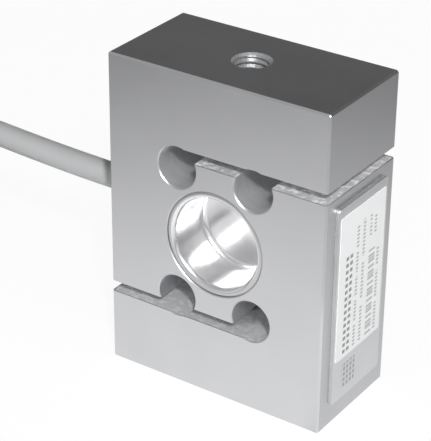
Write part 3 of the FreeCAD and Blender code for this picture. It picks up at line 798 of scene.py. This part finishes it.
def insulation_finish(shade, end, bare=-1.0):
    """Coloured insulation, stripped off the tinned strands where the wire is left of bare."""
    finish = Finish(f"{shade}_{end}_insulation")
    where = finish.place()
    [x] = finish.parts(where, "X")
    cloud = finish.noise(where, 1.0)
    strands = finish.noise(where, 4.0, 2.0, stretch=(0.15, 1.0, 1.0))
    tinned = x < bare / MM
    insulated = finish.shade(INSULATION[shade], 0.88 + 0.2 * cloud)
    tin = finish.shade(settings().cable.tin, 0.6 + 0.6 * strands)
    finish.set(
        Base_Color=finish.mix(tinned, insulated, tin),
        Metallic=tinned,
        Roughness=0.35 - 0.05 * tinned,
    )
    finish.bump(cloud * 0.3 + strands * tinned, 0.1 * MM, 0.4)
    return finish


class LOADCELL_OT_board(bpy.types.Operator):
    """Finishes the compensation board, its spacer, its resistors and the inner leads"""

    bl_idname = "loadcell.board"
    bl_label = "Board and inner leads"

    def execute(self, context):
        give("compensation_board", board_finish())
        give("board_spacer", foam_finish())
        chip = chip_finish()
        for node in RESISTORS:
            give(node, chip)
        for shade in INSULATION:
            give(f"{shade}_inner_lead", insulation_finish(shade, "inner"))
        return {"FINISHED"}


# ---------------------------------------------------------------- cable gland


def gland_finish():
    """Plated metal with fine turning marks round it."""
    finish = Finish("gland_metal", Metallic=1.0)
    where = finish.place()
    marks = finish.noise(where, 8.0, 2.0, stretch=(1.0, 0.1, 0.1))
    cloud = finish.noise(where, 0.5)
    finish.set(
        Base_Color=finish.shade(settings().inside.gland, 0.9 + 0.15 * cloud),
        Roughness=0.22 + 0.15 * marks,
    )
    finish.bump(marks, 0.03 * MM, 0.3)
    return finish


class LOADCELL_OT_gland(bpy.types.Operator):
    """Finishes the cable gland's body, nut and seal"""

    bl_idname = "loadcell.gland"
    bl_label = "Cable gland"

    def execute(self, context):
        metal = gland_finish()
        give("gland_body", metal)
        give("gland_nut", metal)
        give("gland_seal", rubber_finish("seal_rubber"))
        return {"FINISHED"}


# ---------------------------------------------------------------- cable

# The lead out of the gland and the free tail: the cable solids' own points, in metres.
LEAD_ROUTE = [
    (-0.0220, 0.0, 0.0350),
    (-0.0400, 0.0, 0.0350),
    (-0.0580, 0.0001, 0.0356),
    (-0.0730, 0.0006, 0.0361),
    (-0.0870, 0.0022, 0.0322),
]
TAIL_ROUTE = [
    (-0.1060, 0.0016, 0.0032),
    (-0.1180, -0.0024, 0.00275),
    (-0.1300, -0.0044, 0.00275),
]

# The hank's cells from the lead to the tail: the column, 0 for the inner turns and -1 inside them, and the
# layer up from the floor.
CELLS = [(0, 4), (0, 3), (1, 3), (1, 2), (0, 2), (0, 1), (1, 1), (1, 0), (0, 0), (-1, 0)]

# The hank's control points are its stations: so many in each straight side and in each half turn. A move to
# the next cell takes CHANGE_STATIONS, the first starts at FIRST_CHANGE, and each next one starts CHANGE_LAG
# earlier in its turn.
STRAIGHT_STATIONS = 5
ARC_STATIONS = 6
TURN_STATIONS = 2 * (STRAIGHT_STATIONS + ARC_STATIONS)
CHANGE_STATIONS = 2.0
CHANGE_LAG = 0.5
FIRST_CHANGE = 3.5


def station(number):
    """A station's place on the hank's long axis, and the direction from there to the turn."""
    look = settings().cable
    right, left = -look.hank_right, -look.hank_right - look.hank_straight
    side, step = divmod(number % TURN_STATIONS, STRAIGHT_STATIONS + ARC_STATIONS)
    way = 1 if side == 0 else -1
    start, end = (right, left) if side == 0 else (left, right)
    if step < STRAIGHT_STATIONS:
        x = start + (end - start) * (step + 0.5) / STRAIGHT_STATIONS
        return Vector((x, look.hank_middle, 0)), Vector((0, way, 0))
    turn = math.pi * (step - STRAIGHT_STATIONS + 0.5) / ARC_STATIONS
    out = Vector((-way * math.sin(turn), way * math.cos(turn), 0))
    return Vector((end, look.hank_middle, 0)), out / math.cos(math.pi / ARC_STATIONS / 2)


def cell_at(number):
    """Column and layer at a station, which change smoothly from each cell to the next."""
    column, layer = CELLS[0]
    for change, (before, after) in enumerate(zip(CELLS, CELLS[1:])):
        start = FIRST_CHANGE + change * (TURN_STATIONS - CHANGE_LAG)
        done = min(max((number - start) / CHANGE_STATIONS, 0), 1)
        done = done * done * (3 - 2 * done)
        column += done * (after[0] - before[0])
        layer += done * (after[1] - before[1])
    return column, layer


def hank_points():
    """Control points of the hank's turns, from the lead on its top to the tail inside it."""
    look = settings().cable
    points = []
    for number in range((len(CELLS) - 2) * TURN_STATIONS + 1):
        middle, out = station(number)
        column, layer = cell_at(number)
        place = middle + out * (look.hank_radius + column * look.diameter)
        place.z = look.strap_thickness + (layer + 0.5) * look.diameter
        points.append(place)
    return points


def new_cord(name, points, diameter, finish):
    """A round cord along one smooth spline whose control points are given."""
    curve = bpy.data.curves.new(name, "CURVE")
    curve.dimensions = "3D"
    curve.bevel_depth = diameter / 2
    curve.bevel_resolution = 6
    curve.resolution_u = 6
    curve.use_fill_caps = True
    spline = curve.splines.new("NURBS")
    spline.points.add(len(points) - 1)
    for point, place in zip(spline.points, points):
        point.co = (*place, 1)
    spline.order_u = 3
    spline.use_endpoint_u = True
    return new_piece(name, curve, finish)


def jacket_finish():
    """Grey jacket with a faint cloud and a fine grain."""
    look = settings().cable
    finish = Finish("cable_jacket")
    where = finish.place()
    cloud = finish.noise(where, 0.15, 3.0)
    grain = finish.noise(where, 7.0, 3.0)
    finish.set(
        Base_Color=finish.shade(look.jacket, 0.95 + 0.08 * cloud + 0.03 * grain),
        Roughness=0.38 + 0.10 * cloud,
    )
    finish.bump(grain, 0.03 * MM, 0.35)
    return finish


def strap_finish():
    """Black fabric with a fine weave and loose fluff."""
    look = settings().cable
    finish = Finish("strap_fabric", Roughness=0.9, Sheen_Weight=0.3)
    where = finish.place()
    x, y, z = finish.parts(where)
    ribs = 9.0
    across = finish.maths("SINE", x * ribs)
    along = finish.maths("SINE", (y + z) * ribs)
    weave = across * along * 0.5 + 0.5
    fluff = finish.noise(where, 4.0)
    finish.set(Base_Color=finish.shade(look.strap, 0.7 + 0.5 * weave + 0.5 * fluff))
    finish.bump(weave + fluff * 0.6, 0.12 * MM, 0.7)
    return finish


def braid_finish():
    """Tinned strands of the drain wire, drawn out along it."""
    finish = Finish("tinned_braid", Metallic=1.0)
    strands = finish.noise(finish.place(), 6.0, 2.0, stretch=(0.2, 1.0, 1.0))
    finish.set(
        Base_Color=finish.shade(settings().cable.tin, 0.7 + 0.5 * strands),
        Roughness=0.3 + 0.2 * strands,
    )
    finish.bump(strands, 0.1 * MM, 0.6)
    return finish


class LOADCELL_OT_cable(bpy.types.Operator):
    """Lays the cable from its gland to its hank and finishes the straps and the free ends"""

    bl_idname = "loadcell.cable"
    bl_label = "Cable"

    def execute(self, context):
        look = settings().cable
        points = LEAD_ROUTE + hank_points() + TAIL_ROUTE
        cable = new_cord("grey_cable", points, look.diameter, jacket_finish())
        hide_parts("cable_lead", "cable_hank", "cable_tail")
        strap = strap_finish()
        for node in ("front_strap", "rear_strap"):
            give(node, strap)
        for shade in INSULATION:
            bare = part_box(f"{shade}_conductor")[0][0] + look.stripped
            give(f"{shade}_conductor", insulation_finish(shade, "outer", bare))
        give("drain_wire", braid_finish())
        return {"FINISHED"}


# ---------------------------------------------------------------- stage

# Each lamp's azimuth right of the front and its elevation in degrees, its distance and size in metres, its
# power in watts, and whether it lights matt faces and shows in reflections.
LAMPS = {
    "key_softbox": (41, 38, 0.60, 0.22, 2.8, False, True),
    "key_lamp": (39, 38, 0.45, 0.022, 1.6, True, False),
    "side_softbox": (100, 55, 0.60, 0.30, 0.3, True, True),
}


def toward(azimuth, elevation):
    """The direction from the cell to something at an azimuth right of the front and an elevation."""
    level = math.cos(elevation)
    return Vector((math.sin(azimuth) * level, -math.cos(azimuth) * level, math.sin(elevation)))


def add_lamp(name, azimuth, elevation, distance, size, power, lights, shows):
    """A square lamp that faces the cell's middle."""
    lamp = bpy.data.lights.new(name, "AREA")
    lamp.shape, lamp.size, lamp.energy = "SQUARE", size, power
    piece = bpy.data.objects.new(name, lamp)
    bpy.context.scene.collection.objects.link(piece)
    way = toward(math.radians(azimuth), math.radians(elevation))
    piece.location = Vector((0, 0, MIDDLE)) + way * distance
    piece.rotation_mode = "QUATERNION"
    piece.rotation_quaternion = way.to_track_quat("Z", "Y")
    piece.visible_diffuse, piece.visible_glossy = lights, shows


def add_camera():
    """The camera, turned about its target and then about its own axis."""
    look = settings().stage
    back = toward(look.azimuth, look.elevation)
    right = Vector((math.cos(look.azimuth), math.sin(look.azimuth), 0))
    up = back.cross(right)
    turn = Matrix.Rotation(look.roll, 3, back)
    axes = Matrix((turn @ right, turn @ up, back)).transposed()
    data = bpy.data.cameras.new("camera")
    data.lens = look.lens
    data.clip_start, data.clip_end = 0.01, 20.0
    camera = bpy.data.objects.new("camera", data)
    place = Vector(look.target) + back * look.distance
    camera.matrix_world = Matrix.LocRotScale(place, axes.to_quaternion(), None)
    bpy.context.scene.collection.objects.link(camera)
    bpy.context.scene.camera = camera


def add_floor():
    """A pale floor that looks white to the camera, and that metal mirrors brightest near the cell."""
    look = settings().stage
    mesh = bpy.data.meshes.new("floor")
    reach, level = look.floor_reach, -look.floor_gap
    sides = ((-1, -1), (1, -1), (1, 1), (-1, 1))
    mesh.from_pydata([(x * reach, y * reach, level) for x, y in sides], [], [(0, 1, 2, 3)])
    floor = bpy.data.objects.new("floor", mesh)
    bpy.context.scene.collection.objects.link(floor)
    finish = Finish("floor", Roughness=0.7)
    where = finish.place()
    x, y = finish.parts(where, "XY")
    cloud = finish.noise(where, 0.01)
    kinds = ("Camera", "Glossy", "Transmission")
    camera, glossy, through = (finish.node("LightPath", output=f"Is {kind} Ray") for kind in kinds)
    seen, mirrored = camera * look.lift, glossy + through
    aside, ahead = x - look.glow_middle[0] / MM, y - look.glow_middle[1] / MM
    away = (aside * aside + ahead * ahead) / (look.glow_reach / MM) ** 2
    away = finish.maths("POWER", away, look.glow_fall)
    start, full, end = look.shadow_start / MM, look.shadow_full / MM, look.shadow_end / MM
    beside = finish.ramp(x, start, full) * (1 - finish.ramp(x, full, end))
    glow = (1 - look.shadow * beside) / (1 + away)
    finish.set(
        Base_Color=finish.shade(look.floor, (0.99 + 0.02 * cloud) * (1 - seen - mirrored)),
        Emission_Color=finish.shade((1, 1, 1), seen + mirrored * glow * look.glow),
        Emission_Strength=1.0,
    )
    mesh.materials.append(finish.material)


def add_sky():
    """Surroundings that are pale near the horizon, and overhead grey at the front and dark at the back."""
    look = settings().stage
    world = bpy.data.worlds.new("surroundings")
    bpy.context.scene.world = world
    sky = Nodes(world, "Background")
    way = sky.node("TexCoord", output="Generated")
    depth, height = sky.parts(way, "YZ")
    # How far back and how far up a direction of length 1 points, where the tones meet.
    front_end, back_start = -0.35, 0.25
    pale_end, overhead = 0.10, 0.30
    over = sky.ramp(depth, front_end, back_start, look.front, look.dark)
    low = sky.ramp(height, pale_end, overhead, 1.0, 0.0)
    tone = low * look.pale + (1 - low) * over
    sky.set(Color=sky.shade((1, 1, 1), tone), Strength=1.0)


class LOADCELL_OT_stage(bpy.types.Operator):
    """Sets the floor, the surroundings, the lamps and the camera"""

    bl_idname = "loadcell.stage"
    bl_label = "Stage"

    def execute(self, context):
        add_floor()
        add_sky()
        for name, placing in LAMPS.items():
            add_lamp(name, *placing)
        add_camera()
        context.scene.view_settings.view_transform = "Standard"
        return {"FINISHED"}


# ---------------------------------------------------------------- panel and registration

OPERATORS = [
    LOADCELL_OT_spring_body,
    LOADCELL_OT_cups,
    LOADCELL_OT_gauges,
    LOADCELL_OT_cover,
    LOADCELL_OT_board,
    LOADCELL_OT_gland,
    LOADCELL_OT_cable,
    LOADCELL_OT_stage,
]
GROUPS = [
    BodySettings,
    CupSettings,
    CoverSettings,
    InsideSettings,
    CableSettings,
    StageSettings,
    LoadCellSettings,
]


class LOADCELL_PT_panel(bpy.types.Panel):
    """Lists the steps that dress the load cell and their settings"""

    bl_idname = "LOADCELL_PT_panel"
    bl_label = "Load cell"
    bl_space_type = "VIEW_3D"
    bl_region_type = "UI"
    bl_category = "Load cell"

    def draw(self, context):
        for step in OPERATORS:
            self.layout.operator(step.bl_idname)
        for name in LoadCellSettings.__annotations__:
            group = getattr(context.scene.load_cell, name)
            box = self.layout.box()
            for setting in group.bl_rna.properties:
                if not setting.is_readonly and setting.identifier != "name":
                    box.prop(group, setting.identifier)


def register():
    for item in GROUPS + OPERATORS + [LOADCELL_PT_panel]:
        bpy.utils.register_class(item)
    bpy.types.Scene.load_cell = PointerProperty(type=LoadCellSettings)


def unregister():
    del bpy.types.Scene.load_cell
    for item in reversed(GROUPS + OPERATORS + [LOADCELL_PT_panel]):
        bpy.utils.unregister_class(item)


def main():
    """Dresses the load cell."""
    register()
    for step in OPERATORS:
        group, name = step.bl_idname.split(".")
        getattr(getattr(bpy.ops, group), name)()


if __name__ == "__main__":
    main()
